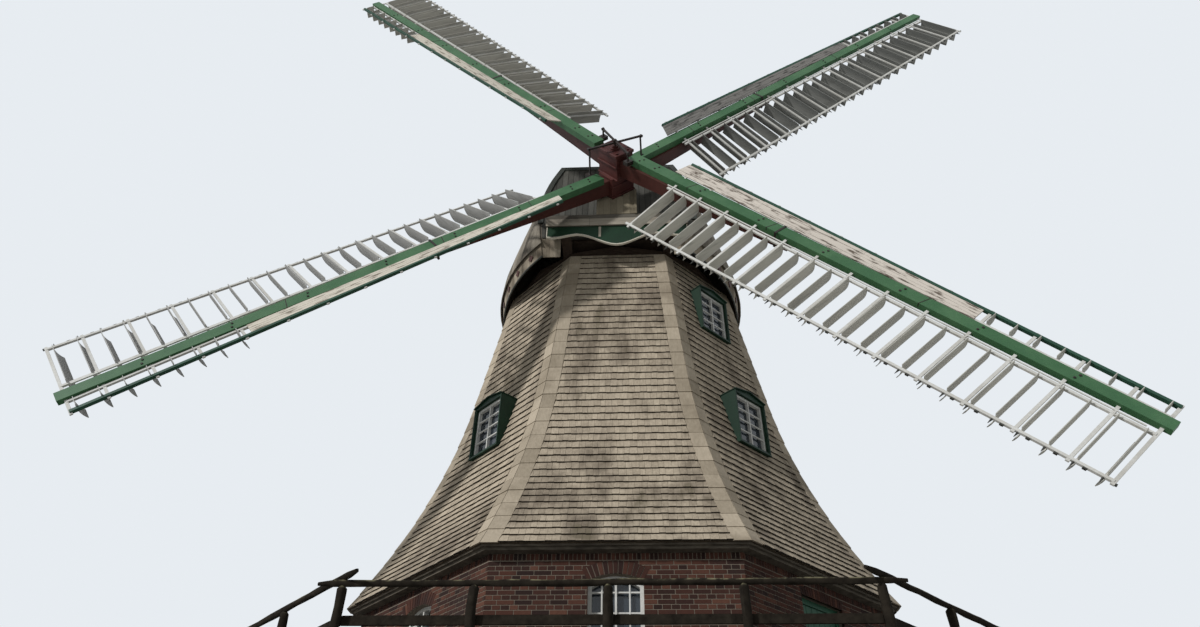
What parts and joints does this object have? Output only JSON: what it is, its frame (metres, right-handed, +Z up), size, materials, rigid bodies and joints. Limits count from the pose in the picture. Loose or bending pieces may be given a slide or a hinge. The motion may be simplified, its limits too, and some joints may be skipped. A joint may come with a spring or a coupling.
{
  "type": "smock windmill",
  "caption": "Octagonal smock windmill with a brick base, a railed gallery, a boarded bell-shaped tower, a turning cap and shuttered sails on crossing stocks.",
  "frame": {"origin": "On the ground at the middle of the tower.", "axes": "+Z up, the sails face -Y, +X to the right seen from the front."},
  "size_m": [19.6882, 14.6098, 25.6576],
  "materials": {
    "brickwork": "dark red weathered bricks with pale mortar",
    "smock_boards": "weathered overlapping boards",
    "corner_boards": "pale weathered corner boards",
    "fascia_boards": "grey weathered skirt boards",
    "floor_boards": "worn floor boards",
    "door_paint": "green painted boards",
    "window_paint": "white painted wood",
    "window_glass": "dark clear glass",
    "casing_paint": "dark green painted wood",
    "gallery_timber": "grey weathered timber with lichen",
    "frame_timber": "rough oak",
    "cap_boards": "grey weathered upright boards",
    "skirt_boards": "pale weathered boards",
    "ledge_boards": "pale grey weathered boards",
    "scallop_paint": "green paint with a cream edge",
    "shaft_timber": "oak shaft",
    "poll_paint": "dark red painted casting",
    "stock_paint": "dark red paint",
    "whip_paint": "green paint",
    "windboard_paint": "bleached boards",
    "rail_paint": "white painted wood",
    "shutter_paint": "light grey painted boards",
    "gear_iron": "black iron"
  },
  "bodies": {
    "tower": {"base_wall_front": "brickwork", "base_wall_front_right": "brickwork", "base_wall_right": "brickwork", "base_wall_back_right": "brickwork", "base_wall_back": "brickwork", "base_wall_back_left": "brickwork", "base_wall_left": "brickwork", "base_wall_front_left": "brickwork", "smock_side_front": "smock_boards", "smock_side_front_right": "smock_boards", "smock_side_right": "smock_boards", "smock_side_back_right": "smock_boards", "smock_side_back": "smock_boards", "smock_side_back_left": "smock_boards", "smock_side_left": "smock_boards", "smock_side_front_left": "smock_boards", "doors": "door_paint", "window_frames": "window_paint", "window_glass": "window_glass", "window_casings": "casing_paint", "hip_boards": "corner_boards", "skirt_fascia": "fascia_boards", "floors": "floor_boards", "gallery_deck": "gallery_timber", "gallery_joists": "gallery_timber", "gallery_brackets": "gallery_timber", "gallery_posts": "gallery_timber", "gallery_rails": "gallery_timber", "curb": "frame_timber"},
    "cap": {"cap_ring": "frame_timber", "cap_flanks": "cap_boards", "cap_top": "cap_boards", "cap_gables": "cap_boards", "cap_skirt": "skirt_boards", "cap_beams": "frame_timber", "weather_board": "ledge_boards", "scalloped_board": "scallop_paint", "storm_box": "ledge_boards"},
    "sails": {"windshaft": "shaft_timber", "poll_end": "poll_paint", "front_stock": "stock_paint", "rear_stock": "stock_paint", "whips": "whip_paint", "windboards": "windboard_paint", "striking_gear": "gear_iron", "sail_frame_a": "rail_paint", "sail_frame_b": "rail_paint", "sail_frame_c": "rail_paint", "sail_frame_d": "rail_paint", "shutters_a": "shutter_paint", "shutters_b": "shutter_paint", "shutters_c": "shutter_paint", "shutters_d": "shutter_paint"}
  },
  "joints": [
    {"name": "cap_winding", "type": "hinge", "parent": "tower", "child": "cap", "pos_m": [0, 0, 14.052], "axis": [0, 0, 1], "continuous": true},
    {"name": "sail_turn", "type": "hinge", "parent": "cap", "child": "sails", "pos_m": [0, -4, 15.893], "axis": [0, -0.9836, 0.1805], "continuous": true}
  ]
}
